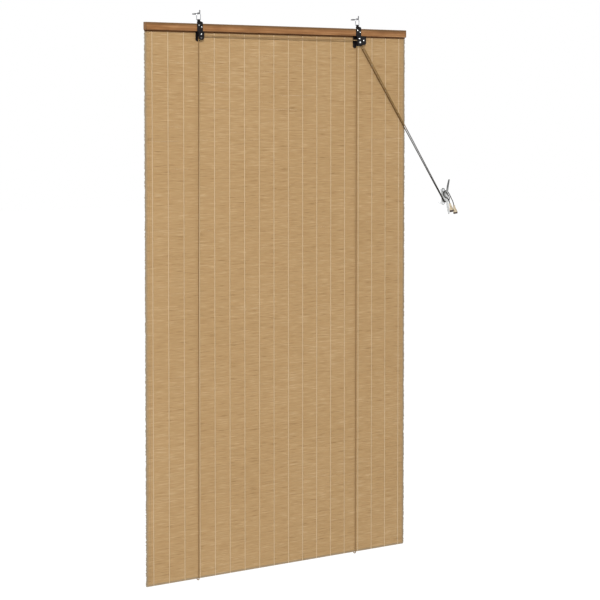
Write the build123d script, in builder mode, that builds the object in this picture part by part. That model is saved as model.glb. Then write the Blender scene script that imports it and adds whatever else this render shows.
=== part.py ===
from build123d import *
import os
from math import acos, atan2, cos, hypot, pi, sin, tan

# Bamboo roller blind, 100 x 160 cm, hanging from two screw hooks, with its pull cords on a wall cleat.
# Frame: +X along the rail to the cord side, +Y into the wall, +Z up. The room is towards -Y.
# The origin lies in the wall's face, midway between the two hooks. All sizes are in millimetres.

os.makedirs("parts", exist_ok=True)

# Whole blind
BLIND_WIDTH = 1000.0
BLIND_DROP = 1600.0
HOOK_SPACING = 610.0
RAIL_SHIFT = 4.8
MAT_SHIFT = 9.3
LEFT_HOOK_X = -HOOK_SPACING / 2
RIGHT_HOOK_X = HOOK_SPACING / 2
HOOKS = [("left", LEFT_HOOK_X), ("right", RIGHT_HOOK_X)]

# Head rail
RAIL_TOP = -28.0
RAIL_HEIGHT = 22.0
RAIL_DEPTH = 12.0
RAIL_FRONT = -21.0
RAIL_EASE = 1.5
RAIL_BACK = RAIL_FRONT + RAIL_DEPTH
RAIL_BOTTOM = RAIL_TOP - RAIL_HEIGHT

# Bamboo mat: flat reeds with a groove between each two, and short gaps in some of the grooves
MAT_WIDTH = 1000.0
MAT_THICKNESS = 2.4
MAT_TOP = RAIL_TOP - 2.0
MAT_BOTTOM = RAIL_TOP - BLIND_DROP
MAT_FRONT = RAIL_BACK
MAT_BACK = MAT_FRONT + MAT_THICKNESS
MAT_LEFT = MAT_SHIFT - MAT_WIDTH / 2
REED_COUNT = 213
REED_PITCH = (MAT_TOP - MAT_BOTTOM) / REED_COUNT
GROOVE_WIDTH = 1.6
GROOVE_DEPTH = 0.55
GAP_HEIGHT = 0.7
GAP_LENGTHS = [22.0, 31.0, 40.0]
GAPS_PER_BAY = 6
EDGE_ROWS = 8
GOLDEN_STEP = 0.618

# Warp threads, front and back
THREAD_COUNT = 18
THREAD_MARGIN = 25.0
THREAD_WIDTH = 1.2
THREAD_RISE = 0.4
THREAD_END_GAP = 0.2
THREAD_PITCH = (MAT_WIDTH - 2 * THREAD_MARGIN) / (THREAD_COUNT - 1)
THREAD_XS = [MAT_LEFT + THREAD_MARGIN + i * THREAD_PITCH for i in range(THREAD_COUNT)]

# Bottom slat behind the mat
SLAT_WIDTH = 990.0
SLAT_HEIGHT = 18.0
SLAT_DEPTH = 3.0
SLAT_BACK = MAT_BACK + SLAT_DEPTH
SLAT_EASE = 0.8

# Staples
STAPLE_SPAN = 10.0
STAPLE_WIRE = 0.6
STAPLE_BREADTH = 1.0
STAPLES_PER_ROW = 9
RAIL_STAPLE_LEG = 7.0
SLAT_STAPLE_LEG = 5.0
STAPLE_END_MARGIN = 35.0
CORD_STAPLE_PLAY = 0.1

# Cord
CORD_R = 1.55
CORD_GAP = 0.3
CORD_STAND = CORD_R + CORD_GAP
CORD_OFFSET_X = 1.0
CORD_LEFT_X = LEFT_HOOK_X + CORD_OFFSET_X
CORD_RIGHT_X = RIGHT_HOOK_X + CORD_OFFSET_X
CORD_TOP = -36.0
CORD_STAPLE_Z = -41.0
CORD_LOOP_Z = MAT_BOTTOM - 4.4
LOOP_R = 4.05

# Stamped plates of the pulley brackets
SHEET = 1.2
PLATE_GAP = 0.2
MIDDLE_SHEET = 0.8
STRAP_LEFT = -9.0
STRAP_RIGHT = 11.5
STRAP_TOP = -23.5
NECK_WIDTH = 8.0
NECK_Y = -18.4
JOGGLE_FOOT = -26.0
JOGGLE_HEAD = -21.0
BEND_R = 1.6
EAR_LEFT = -4.0
LEFT_EAR_RIGHT = 16.5
RIGHT_EAR_RIGHT = 31.5
LEFT_EAR_BOTTOM = -74.5
RIGHT_EAR_BOTTOM = -76.5
EAR_CORNER_R = 8.0
EAR_FLARE = 3.0
SHOULDER = 3.0
PLATE_CORNER_R = 6.0
FRONT_PLATE_BACK = RAIL_FRONT
FRONT_PLATE_FRONT = RAIL_FRONT - SHEET
REAR_PLATE_BACK = MAT_FRONT - 0.7
REAR_PLATE_FRONT = REAR_PLATE_BACK - SHEET

# Sheaves: all three alike
SHEAVE_R = 7.0
SHEAVE_WIDTH = 4.2
CORD_LINE_R = 5.5
GROOVE_R = CORD_R + 0.25
BORE_R = 1.55
AXLE_R = 1.5
RIM_EASE = 0.25
SIDE_GAP = 0.225
SHEAVE_Z = -68.3
REAR_SHEAVE_Z = -75.0
LEFT_SHEAVE_X = CORD_LEFT_X + CORD_LINE_R
FRONT_SHEAVE_X = RIGHT_HOOK_X + 7.4
REAR_SHEAVE_X = CORD_RIGHT_X + CORD_LINE_R
LEFT_SHEAVE_Y = (FRONT_PLATE_BACK + REAR_PLATE_FRONT) / 2
FRONT_SHEAVE_Y = FRONT_PLATE_BACK + SIDE_GAP + SHEAVE_WIDTH / 2
REAR_SHEAVE_Y = REAR_PLATE_FRONT - SIDE_GAP - SHEAVE_WIDTH / 2
MIDDLE_PLATE_FRONT = FRONT_SHEAVE_Y + SHEAVE_WIDTH / 2 + SIDE_GAP
MIDDLE_PLATE_BACK = MIDDLE_PLATE_FRONT + MIDDLE_SHEET

# Rivets, axles, bushes and nails of the brackets
RIVET_BODY_R = 2.2
RIVET_HEAD_R = 2.5
AXLE_HEAD_R = 2.5
BIG_HEAD_R = 3.2
HEAD_RISE = 0.9
HEAD_FLAT = 0.55
BUSH_R = 2.6
LEFT_RIVET = (LEFT_HOOK_X + 6.4, -57.8)
RIGHT_RIVETS = [(RIGHT_HOOK_X + 5.3, -57.3), (RIGHT_HOOK_X + 21.7, -62.4)]
NAIL_R = 0.9
NAIL_LENGTH = 9.0
NAIL_HEAD_R = 2.0
NAIL_HEAD_RISE = 0.8
NAIL_PLACES = [(-2.5, -32.7), (7.5, -38.0)]

# Wall hooks and rings
HOOK_WIRE_R = 1.6
HOOK_TIP_EASE = 1.1
HOOK_THREAD_R = 1.9
HOOK_THREAD = 9.0
HOOK_POINT = 13.0
HOOK_POINT_R = 0.2
HOOK_REACH = 22.0
HOOK_RISE = 10.5
HOOK_BEND_R = 4.0
HOOK_BEND_START = 15.0
RING_WIRE_R = 1.1
RING_HALF_WIDTH = 7.0
RING_TOP = HOOK_WIRE_R + RING_WIRE_R + 0.05
RING_BAR_Z = -18.0
RING_CORNER_R = 2.0
CURL_R = 1.8
RING_Y = NECK_Y + CURL_R
CURL_SWEEP = 290.0

# Wall cleat
CLEAT_X = 685.0
CLEAT_Z = -545.5
CLEAT_BASE = 3.0
CLEAT_BASE_WIDTH = 13.0
CLEAT_BASE_HEIGHT = 53.0
CLEAT_BAR_Y = -19.0
CLEAT_BAR_R = 3.7
CLEAT_TIP_R = 2.3
CLEAT_HALF_LENGTH = 52.7
CLEAT_FLARE = 9.0
CLEAT_STEPS = 3
NECK_R = 4.0
NECK_HALF = 11.0
SCREW_SPACING = 40.0
SCREW_HEAD_R = 3.7
SCREW_SHANK_R = 2.0
SCREW_CORE_R = 1.75
SCREW_HOLE_R = 2.2
SCREW_LENGTH = 16.0
SCREW_POINT = 20.0
SCREW_POINT_R = 0.2
RECESS_LENGTH = 4.0
RECESS_WIDTH = 1.0
RECESS_DEPTH = 1.0

# Tassels
TASSEL_LENGTH = 27.0
TASSEL_TOP_R = 3.4
TASSEL_WAIST_R = 3.1
TASSEL_WAIST_SHARE = 0.15
TASSEL_FOOT_R = 7.0
TASSEL_FOOT_SHARE = 0.8
TASSEL_RIM_R = 6.3
TASSEL_BORE_R = 1.7
POCKET_R = 4.2
POCKET_DEPTH = 8.0
KNOT_R = 3.0
KNOT_LENGTH = 4.2
REAR_TASSEL_DROP = 10.0
FRONT_TASSEL_DROP = 9.5
LAST_RUN = TASSEL_LENGTH - POCKET_DEPTH + 1.5


def sheet_plane(back):
    """The upright plane at depth back, from which an extrusion grows towards the room."""
    return Plane.XZ.offset(-back)


def turned_plane(x, z):
    """A plane for half profiles drawn as radius and depth, to turn about the Y line through x and z."""
    return Plane(origin=(x, 0, z), x_dir=(1, 0, 0), z_dir=(0, 0, 1))


def depth_axis(x, z):
    return Axis((x, 0, z), (0, 1, 0))


# Head rail: one stained lath with eased edges and a pilot hole for each strap nail
with BuildPart() as head_rail:
    with BuildSketch(Plane.YZ.offset(RAIL_SHIFT - BLIND_WIDTH / 2)):
        with Locations(((RAIL_FRONT + RAIL_BACK) / 2, RAIL_TOP - RAIL_HEIGHT / 2)):
            RectangleRounded(RAIL_DEPTH, RAIL_HEIGHT, RAIL_EASE)
    extrude(amount=BLIND_WIDTH)
    with BuildSketch(sheet_plane(RAIL_FRONT)):
        with Locations([(x + dx, z) for _, x in HOOKS for dx, z in NAIL_PLACES]):
            Circle(NAIL_R)
    extrude(amount=SHEET - NAIL_LENGTH, mode=Mode.SUBTRACT)
head_rail.part.label = "head_rail"
export_step(head_rail.part, "parts/head_rail.step")


def reed_profile():
    """Front face from the top down, then the back face up again, as depth and height."""
    front = [(MAT_FRONT, MAT_TOP)]
    back = [(MAT_BACK, MAT_TOP)]
    for i in range(1, REED_COUNT):
        z = MAT_TOP - i * REED_PITCH
        half = GROOVE_WIDTH / 2
        front += [(MAT_FRONT, z + half), (MAT_FRONT + GROOVE_DEPTH, z), (MAT_FRONT, z - half)]
        back += [(MAT_BACK, z + half), (MAT_BACK - GROOVE_DEPTH, z), (MAT_BACK, z - half)]
    front.append((MAT_FRONT, MAT_BOTTOM))
    back.append((MAT_BACK, MAT_BOTTOM))
    return front + back[::-1]


def gap_places(length_index):
    """Centres of the gaps of one length: each bay between two threads has its own rows, spread by golden steps."""
    places = []
    for bay in range(THREAD_COUNT - 1):
        for n in range(length_index, GAPS_PER_BAY, len(GAP_LENGTHS)):
            share = ((bay * GAPS_PER_BAY + n) * GOLDEN_STEP) % 1
            row = round((n + share) / GAPS_PER_BAY * (REED_COUNT - 2 * EDGE_ROWS)) + EDGE_ROWS
            places.append((THREAD_XS[bay] + THREAD_PITCH / 2, MAT_TOP - row * REED_PITCH))
    return places


# Mat
with BuildPart() as bamboo_mat:
    with BuildSketch(Plane.YZ.offset(MAT_LEFT)):
        with BuildLine():
            Polyline(*reed_profile(), close=True)
        make_face()
    extrude(amount=MAT_WIDTH)
    with BuildSketch(sheet_plane(MAT_BACK + 1)):
        for length_index, gap_length in enumerate(GAP_LENGTHS):
            with Locations(gap_places(length_index)):
                Rectangle(gap_length, GAP_HEIGHT)
    extrude(amount=MAT_THICKNESS + 2, mode=Mode.SUBTRACT)
bamboo_mat.part.label = "bamboo_mat"
export_step(bamboo_mat.part, "parts/bamboo_mat.step")


# Warp threads: one in front of the reeds from the rail down, one behind them from the mat's top to the slat
FRONT_THREAD_TOP = RAIL_BOTTOM - THREAD_END_GAP
BACK_THREAD_FOOT = MAT_BOTTOM + SLAT_HEIGHT + THREAD_END_GAP
with BuildPart() as warp_threads:
    for back, top, foot in [
        (MAT_FRONT, FRONT_THREAD_TOP, MAT_BOTTOM),
        (MAT_BACK + THREAD_RISE, MAT_TOP, BACK_THREAD_FOOT),
    ]:
        with BuildSketch(sheet_plane(back)):
            with Locations([(x, (top + foot) / 2) for x in THREAD_XS]):
                Rectangle(THREAD_WIDTH, top - foot)
        extrude(amount=THREAD_RISE)
warp_threads.part.label = "warp_threads"
export_step(warp_threads.part, "parts/warp_threads.step")


# Bottom slat
with BuildPart() as bottom_slat:
    with BuildSketch(Plane.YZ.offset(MAT_SHIFT - SLAT_WIDTH / 2)):
        with Locations(((MAT_BACK + SLAT_BACK) / 2, MAT_BOTTOM + SLAT_HEIGHT / 2)):
            RectangleRounded(SLAT_DEPTH, SLAT_HEIGHT, SLAT_EASE)
    extrude(amount=SLAT_WIDTH)
bottom_slat.part.label = "bottom_slat"
export_step(bottom_slat.part, "parts/bottom_slat.step")


def staple_points(x, crown_back, inner_half, leg_end):
    """A staple seen from above: the crown runs along X at the back, and both legs point to the room."""
    outer_half = inner_half + STAPLE_WIRE
    inner_back = crown_back - STAPLE_WIRE
    return [
        (x - outer_half, crown_back),
        (x + outer_half, crown_back),
        (x + outer_half, leg_end),
        (x + inner_half, leg_end),
        (x + inner_half, inner_back),
        (x - inner_half, inner_back),
        (x - inner_half, leg_end),
        (x - outer_half, leg_end),
    ]


STAPLE_STEP = (MAT_WIDTH - 2 * STAPLE_END_MARGIN) / (STAPLES_PER_ROW - 1)
STAPLE_XS = [MAT_LEFT + STAPLE_END_MARGIN + i * STAPLE_STEP for i in range(STAPLES_PER_ROW)]
CORD_BACK_Y = MAT_BACK + CORD_STAND
CORD_FRONT_Y = MAT_FRONT - CORD_STAND
CORD_SLAT_Y = SLAT_BACK + CORD_STAND
STAPLE_INNER = STAPLE_SPAN / 2 - STAPLE_WIRE
staples = []
for x in STAPLE_XS:
    rail_z = RAIL_TOP - RAIL_HEIGHT / 2
    slat_z = MAT_BOTTOM + SLAT_HEIGHT / 2
    rail_crown = MAT_BACK + STAPLE_WIRE
    slat_crown = SLAT_BACK + STAPLE_WIRE
    staples.append((rail_z, staple_points(x, rail_crown, STAPLE_INNER, MAT_BACK - RAIL_STAPLE_LEG)))
    staples.append((slat_z, staple_points(x, slat_crown, STAPLE_INNER, SLAT_BACK - SLAT_STAPLE_LEG)))
for x in (CORD_LEFT_X, CORD_RIGHT_X):
    cord_half = CORD_R + CORD_STAPLE_PLAY
    cord_crown = CORD_BACK_Y + cord_half + STAPLE_WIRE
    staples.append((CORD_STAPLE_Z, staple_points(x, cord_crown, cord_half, MAT_BACK - RAIL_STAPLE_LEG)))

# Staples: the mat on the rail, the slat on the mat, and each lift cord's end on the rail
with BuildPart() as mat_staples:
    for z, outline in staples:
        with BuildSketch(Plane.XY.offset(z - STAPLE_BREADTH / 2)):
            with BuildLine():
                Polyline(*outline, close=True)
            make_face()
        extrude(amount=STAPLE_BREADTH)
mat_staples.part.label = "mat_staples"
export_step(mat_staples.part, "parts/mat_staples.step")


# Wall hooks: a screw point and thread in the wall, a plain shank, and an upturned end
for side, x in HOOKS:
    with BuildPart() as wall_hook:
        with BuildSketch(turned_plane(x, 0)):
            with BuildLine():
                Polyline(
                    (0, HOOK_POINT),
                    (HOOK_POINT_R, HOOK_POINT),
                    (HOOK_THREAD_R, HOOK_THREAD),
                    (HOOK_THREAD_R, 0),
                    (HOOK_WIRE_R, 0),
                    (HOOK_WIRE_R, -HOOK_BEND_START),
                    (0, -HOOK_BEND_START),
                    close=True,
                )
            make_face()
        revolve(axis=depth_axis(x, 0))
        with BuildLine():
            FilletPolyline(
                (x, -HOOK_BEND_START, 0),
                (x, -HOOK_REACH, 0),
                (x, -HOOK_REACH, HOOK_RISE),
                radius=HOOK_BEND_R,
            )
        with BuildSketch(Plane(origin=(x, -HOOK_BEND_START, 0), z_dir=(0, -1, 0))):
            Circle(HOOK_WIRE_R)
        sweep()
        fillet(wall_hook.edges().group_by(Axis.Z)[-1], HOOK_TIP_EASE)
    wall_hook.part.label = f"{side}_wall_hook"
    export_step(wall_hook.part, f"parts/{side}_wall_hook.step")


# Rings: a D of wire whose flat bar lies in the strap's curl
for side, x in HOOKS:
    arch_z = RING_TOP - RING_HALF_WIDTH
    with BuildPart() as ring:
        with BuildLine(Plane(origin=(x, RING_Y, 0), x_dir=(1, 0, 0), z_dir=(0, -1, 0))):
            FilletPolyline(
                (-RING_HALF_WIDTH, arch_z),
                (-RING_HALF_WIDTH, RING_BAR_Z),
                (RING_HALF_WIDTH, RING_BAR_Z),
                (RING_HALF_WIDTH, arch_z),
                radius=RING_CORNER_R,
            )
            CenterArc((0, arch_z), RING_HALF_WIDTH, 0, 180)
        with BuildSketch(Plane(origin=(x - RING_HALF_WIDTH, RING_Y, arch_z), z_dir=(0, 0, -1))):
            Circle(RING_WIRE_R)
        sweep()
    ring.part.label = f"{side}_ring"
    export_step(ring.part, f"parts/{side}_ring.step")


def strap_points(ear_right, ear_bottom):
    """The front plate as it looks from the front: neck, shoulders, strap and ear, relative to the hook's line."""
    neck = NECK_WIDTH / 2
    return [
        (-neck, 0),
        (neck, 0),
        (neck, STRAP_TOP + SHOULDER),
        (STRAP_RIGHT, STRAP_TOP),
        (STRAP_RIGHT, RAIL_BOTTOM),
        (ear_right, RAIL_BOTTOM - EAR_FLARE),
        (ear_right, ear_bottom),
        (EAR_LEFT, ear_bottom),
        (EAR_LEFT, RAIL_BOTTOM - EAR_FLARE),
        (STRAP_LEFT, RAIL_BOTTOM),
        (STRAP_LEFT, STRAP_TOP),
        (-neck, STRAP_TOP + SHOULDER),
    ]


def front_sketch_plane(x, back):
    """An upright plane at depth back whose own origin is on the hook's line x."""
    return Plane(origin=(x, back, 0), x_dir=(1, 0, 0), z_dir=(0, -1, 0))


BRACKETS = [
    ("left", LEFT_HOOK_X, LEFT_EAR_RIGHT, LEFT_EAR_BOTTOM, [LEFT_RIVET, (LEFT_SHEAVE_X, SHEAVE_Z)]),
    ("right", RIGHT_HOOK_X, RIGHT_EAR_RIGHT, RIGHT_EAR_BOTTOM, RIGHT_RIVETS + [(FRONT_SHEAVE_X, SHEAVE_Z)]),
]

# Front plates: one strip each, curled round the ring's bar, set forward above the rail and widened to an ear
for side, x, ear_right, ear_bottom, pins in BRACKETS:
    mid_front = FRONT_PLATE_FRONT + SHEET / 2
    with BuildPart() as front_plate:
        with BuildLine(Plane.YZ.offset(x)):
            FilletPolyline(
                (mid_front, ear_bottom),
                (mid_front, JOGGLE_FOOT),
                (NECK_Y, JOGGLE_HEAD),
                (NECK_Y, RING_BAR_Z),
                radius=BEND_R,
            )
            CenterArc((NECK_Y + CURL_R, RING_BAR_Z), CURL_R, 180, -CURL_SWEEP)
        with BuildSketch(Plane(origin=(x, mid_front, ear_bottom), z_dir=(0, 0, 1))):
            Rectangle(2 * ear_right, SHEET)
        sweep()
        with BuildSketch(front_sketch_plane(x, 0)) as outline:
            with BuildLine():
                Polyline(*strap_points(ear_right, ear_bottom), close=True)
            make_face()
            fillet(outline.vertices().group_by(Axis.Y)[0], EAR_CORNER_R)
        extrude(amount=-FRONT_PLATE_FRONT + 1, mode=Mode.INTERSECT)
        with BuildSketch(sheet_plane(FRONT_PLATE_BACK)):
            with Locations([(x + dx, z) for dx, z in NAIL_PLACES]):
                Circle(NAIL_R)
            with Locations(pins):
                Circle(AXLE_R)
        extrude(amount=SHEET, mode=Mode.SUBTRACT)
    front_plate.part.label = f"{side}_front_plate"
    export_step(front_plate.part, f"parts/{side}_front_plate.step")


PLATE_TOP = RAIL_BOTTOM - PLATE_GAP
LEFT_REAR_OUTLINE = [(-6.0, PLATE_TOP), (16.5, PLATE_TOP), (16.5, -72.5), (8.0, -78.0), (-6.0, -78.0)]
MIDDLE_OUTLINE = [(-4.0, PLATE_TOP), (31.5, PLATE_TOP), (31.5, -73.0), (16.0, -80.0), (-4.0, -80.0)]
RIGHT_REAR_OUTLINE = [
    (-11.5, PLATE_TOP), (31.5, PLATE_TOP), (31.5, -75.0), (11.0, -75.0), (4.5, -86.0), (-11.5, -86.0)
]
FLAT_PLATES = [
    ("left_rear_plate", LEFT_HOOK_X, LEFT_REAR_OUTLINE, REAR_PLATE_BACK, SHEET,
     [(LEFT_RIVET, AXLE_R), ((LEFT_SHEAVE_X, SHEAVE_Z), AXLE_R)]),
    ("right_middle_plate", RIGHT_HOOK_X, MIDDLE_OUTLINE, MIDDLE_PLATE_BACK, MIDDLE_SHEET,
     [(pin, RIVET_BODY_R) for pin in RIGHT_RIVETS]
     + [((FRONT_SHEAVE_X, SHEAVE_Z), AXLE_R), ((REAR_SHEAVE_X, REAR_SHEAVE_Z), AXLE_R)]),
    ("right_rear_plate", RIGHT_HOOK_X, RIGHT_REAR_OUTLINE, REAR_PLATE_BACK, SHEET,
     [(pin, AXLE_R) for pin in RIGHT_RIVETS] + [((REAR_SHEAVE_X, REAR_SHEAVE_Z), AXLE_R)]),
]

# Flat plates below the rail: they close each bracket behind its sheaves
for name, x, corners, back, thickness, holes in FLAT_PLATES:
    with BuildPart() as flat_plate:
        with BuildSketch(front_sketch_plane(x, back)) as outline:
            with BuildLine():
                Polyline(*corners, close=True)
            make_face()
            fillet(outline.vertices().sort_by(Axis.Y)[:-2], PLATE_CORNER_R)
        extrude(amount=thickness)
        with BuildSketch(sheet_plane(back)):
            for place, radius in holes:
                with Locations(place):
                    Circle(radius)
        extrude(amount=thickness, mode=Mode.SUBTRACT)
    flat_plate.part.label = name
    export_step(flat_plate.part, f"parts/{name}.step")


# Sheaves: a round groove for the cord, straight flanges, and a bore that runs on its axle
SHEAVES = [
    ("left_sheave", LEFT_SHEAVE_X, LEFT_SHEAVE_Y, SHEAVE_Z),
    ("front_sheave", FRONT_SHEAVE_X, FRONT_SHEAVE_Y, SHEAVE_Z),
    ("rear_sheave", REAR_SHEAVE_X, REAR_SHEAVE_Y, REAR_SHEAVE_Z),
]
for name, x, y, z in SHEAVES:
    half = SHEAVE_WIDTH / 2
    with BuildPart() as sheave:
        with BuildSketch(turned_plane(x, z)):
            with BuildLine():
                Polyline(
                    (CORD_LINE_R, y - GROOVE_R),
                    (SHEAVE_R, y - GROOVE_R),
                    (SHEAVE_R, y - half + RIM_EASE),
                    (SHEAVE_R - RIM_EASE, y - half),
                    (BORE_R, y - half),
                    (BORE_R, y + half),
                    (SHEAVE_R - RIM_EASE, y + half),
                    (SHEAVE_R, y + half - RIM_EASE),
                    (SHEAVE_R, y + GROOVE_R),
                    (CORD_LINE_R, y + GROOVE_R),
                )
                ThreePointArc(
                    (CORD_LINE_R, y + GROOVE_R), (CORD_LINE_R - GROOVE_R, y), (CORD_LINE_R, y - GROOVE_R)
                )
            make_face()
        revolve(axis=depth_axis(x, z))
    sheave.part.label = name
    export_step(sheave.part, f"parts/{name}.step")


def headed_pin(head_r, front, back, body_r=AXLE_R, body_front=None, body_back=None):
    """Half profile of a pin with a domed head outside the front plate, and a thicker body if one is given."""
    points = [(0, front - HEAD_RISE), (head_r * HEAD_FLAT, front - HEAD_RISE), (head_r, front), (AXLE_R, front)]
    if body_front is not None:
        points += [(AXLE_R, body_front), (body_r, body_front), (body_r, body_back), (AXLE_R, body_back)]
    return points + [(AXLE_R, back), (0, back)]


def plain_pin(front, back):
    return [(0, front), (AXLE_R, front), (AXLE_R, back), (0, back)]


SPACER = headed_pin(
    RIVET_HEAD_R, FRONT_PLATE_FRONT, REAR_PLATE_BACK, RIVET_BODY_R, FRONT_PLATE_BACK, REAR_PLATE_FRONT
)
PINS = [
    ("left_rivet", [LEFT_RIVET], SPACER),
    ("right_rivets", RIGHT_RIVETS, SPACER),
    ("left_axle", [(LEFT_SHEAVE_X, SHEAVE_Z)], headed_pin(AXLE_HEAD_R, FRONT_PLATE_FRONT, REAR_PLATE_BACK)),
    ("front_axle", [(FRONT_SHEAVE_X, SHEAVE_Z)], headed_pin(BIG_HEAD_R, FRONT_PLATE_FRONT, MIDDLE_PLATE_BACK)),
    ("rear_axle", [(REAR_SHEAVE_X, REAR_SHEAVE_Z)], plain_pin(MIDDLE_PLATE_FRONT, REAR_PLATE_BACK)),
]

# Rivets and axles
for name, places, profile in PINS:
    with BuildPart() as pin:
        for x, z in places:
            with BuildSketch(turned_plane(x, z)):
                with BuildLine():
                    Polyline(*profile, close=True)
                make_face()
            revolve(axis=depth_axis(x, z))
    pin.part.label = name
    export_step(pin.part, f"parts/{name}.step")


# Bushes: they keep the single sheave in the middle of the left bracket
BUSH_SPANS = [
    (FRONT_PLATE_BACK, LEFT_SHEAVE_Y - SHEAVE_WIDTH / 2 - SIDE_GAP),
    (LEFT_SHEAVE_Y + SHEAVE_WIDTH / 2 + SIDE_GAP, REAR_PLATE_FRONT),
]
with BuildPart() as left_bushes:
    for front, back in BUSH_SPANS:
        with BuildSketch(sheet_plane(back)):
            with Locations((LEFT_SHEAVE_X, SHEAVE_Z)):
                Circle(BUSH_R)
                Circle(AXLE_R, mode=Mode.SUBTRACT)
        extrude(amount=back - front)
left_bushes.part.label = "left_bushes"
export_step(left_bushes.part, "parts/left_bushes.step")


# Strap nails
with BuildPart() as strap_nails:
    for x, z in [(hook_x + dx, z) for _, hook_x in HOOKS for dx, z in NAIL_PLACES]:
        with BuildSketch(turned_plane(x, z)):
            with BuildLine():
                Polyline(
                    (0, FRONT_PLATE_FRONT - NAIL_HEAD_RISE),
                    (NAIL_HEAD_R * HEAD_FLAT, FRONT_PLATE_FRONT - NAIL_HEAD_RISE),
                    (NAIL_HEAD_R, FRONT_PLATE_FRONT),
                    (NAIL_R, FRONT_PLATE_FRONT),
                    (NAIL_R, FRONT_PLATE_FRONT + NAIL_LENGTH - NAIL_R),
                    (0, FRONT_PLATE_FRONT + NAIL_LENGTH),
                    close=True,
                )
            make_face()
        revolve(axis=depth_axis(x, z))
strap_nails.part.label = "strap_nails"
export_step(strap_nails.part, "parts/strap_nails.step")


SCREW_ZS = [CLEAT_Z + SCREW_SPACING / 2, CLEAT_Z - SCREW_SPACING / 2]

# Wall cleat: one casting with a foot plate, a neck and two horns that flare towards the room
with BuildPart() as wall_cleat:
    with BuildSketch(Plane(origin=(CLEAT_X, 0, CLEAT_Z), x_dir=(1, 0, 0), z_dir=(0, -1, 0))):
        SlotOverall(CLEAT_BASE_HEIGHT, CLEAT_BASE_WIDTH, rotation=90)
    extrude(amount=CLEAT_BASE)
    with BuildSketch(Plane(origin=(CLEAT_X, 0, CLEAT_Z), x_dir=(1, 0, 0), z_dir=(0, -1, 0))):
        SlotOverall(2 * (NECK_HALF + NECK_R), 2 * NECK_R, rotation=90)
    extrude(amount=-CLEAT_BAR_Y)
    for step in range(-CLEAT_STEPS, CLEAT_STEPS + 1):
        share = step / CLEAT_STEPS
        bar_y = CLEAT_BAR_Y - CLEAT_FLARE * share**2
        bar_r = CLEAT_BAR_R + (CLEAT_TIP_R - CLEAT_BAR_R) * abs(share) ** 1.5
        section = Plane(origin=(CLEAT_X, bar_y, CLEAT_Z + share * CLEAT_HALF_LENGTH), z_dir=(0, 0, 1))
        with BuildSketch(section):
            Circle(bar_r)
    loft()
    for tip_z in (CLEAT_Z - CLEAT_HALF_LENGTH, CLEAT_Z + CLEAT_HALF_LENGTH):
        with Locations((CLEAT_X, CLEAT_BAR_Y - CLEAT_FLARE, tip_z)):
            Sphere(CLEAT_TIP_R)
    for z in SCREW_ZS:
        with BuildSketch(turned_plane(CLEAT_X, z)):
            with BuildLine():
                Polyline(
                    (0, -CLEAT_BASE),
                    (SCREW_HEAD_R, -CLEAT_BASE),
                    (SCREW_HOLE_R, -CLEAT_BASE + SCREW_HEAD_R - SCREW_HOLE_R),
                    (SCREW_HOLE_R, 0),
                    (0, 0),
                    close=True,
                )
            make_face()
        revolve(axis=depth_axis(CLEAT_X, z), mode=Mode.SUBTRACT)
wall_cleat.part.label = "wall_cleat"
export_step(wall_cleat.part, "parts/wall_cleat.step")


# Cleat screws: countersunk, flush in the foot plate, with the threaded core in the wall
with BuildPart() as cleat_screws:
    for z in SCREW_ZS:
        with BuildSketch(turned_plane(CLEAT_X, z)):
            with BuildLine():
                Polyline(
                    (0, -CLEAT_BASE),
                    (SCREW_HEAD_R, -CLEAT_BASE),
                    (SCREW_SHANK_R, -CLEAT_BASE + SCREW_HEAD_R - SCREW_SHANK_R),
                    (SCREW_SHANK_R, 0),
                    (SCREW_CORE_R, 0),
                    (SCREW_CORE_R, SCREW_LENGTH),
                    (SCREW_POINT_R, SCREW_POINT),
                    (0, SCREW_POINT),
                    close=True,
                )
            make_face()
        revolve(axis=depth_axis(CLEAT_X, z))
        with BuildSketch(Plane(origin=(CLEAT_X, -CLEAT_BASE, z), x_dir=(1, 0, 0), z_dir=(0, -1, 0))):
            Rectangle(RECESS_LENGTH, RECESS_WIDTH)
            Rectangle(RECESS_WIDTH, RECESS_LENGTH)
        extrude(amount=-RECESS_DEPTH, mode=Mode.SUBTRACT)
cleat_screws.part.label = "cleat_screws"
export_step(cleat_screws.part, "parts/cleat_screws.step")


# Cord routes
NECK_TURN_R = NECK_R + CORD_STAND
REAR_CLEAT_Y = -9.2
FRONT_CLEAT_Y = -13.0


def pull_angle(sheave_x, sheave_z):
    """Angle from straight down of the cord that leaves a sheave on its right and meets the neck from the left."""
    dx = CLEAT_X - sheave_x
    dz = CLEAT_Z - NECK_HALF - sheave_z
    return atan2(dz, dx) + acos((CORD_LINE_R + NECK_TURN_R) / hypot(dx, dz))


def on_circle(centre, radius, angle, y):
    return (centre[0] + radius * cos(angle), y, centre[1] + radius * sin(angle))


def round_corners(centre, radius, start, end, count, y):
    """Corners of the straight runs that touch a circle between two of its angles."""
    half = (end - start) / count / 2
    return [
        on_circle(centre, radius / cos(half), start + (2 * i + 1) * half, y) for i in range(count)
    ]


def between(start, end, share):
    return tuple(a + (b - a) * share for a, b in zip(start, end))


def near_cleat(points):
    return [(CLEAT_X + x, y, CLEAT_Z + z) for x, y, z in points]


FRONT_PULL = pull_angle(FRONT_SHEAVE_X, SHEAVE_Z)
REAR_PULL = pull_angle(REAR_SHEAVE_X, REAR_SHEAVE_Z)
LOWER_NECK = (CLEAT_X, CLEAT_Z - NECK_HALF)
UPPER_NECK = (CLEAT_X, CLEAT_Z + NECK_HALF)

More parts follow.
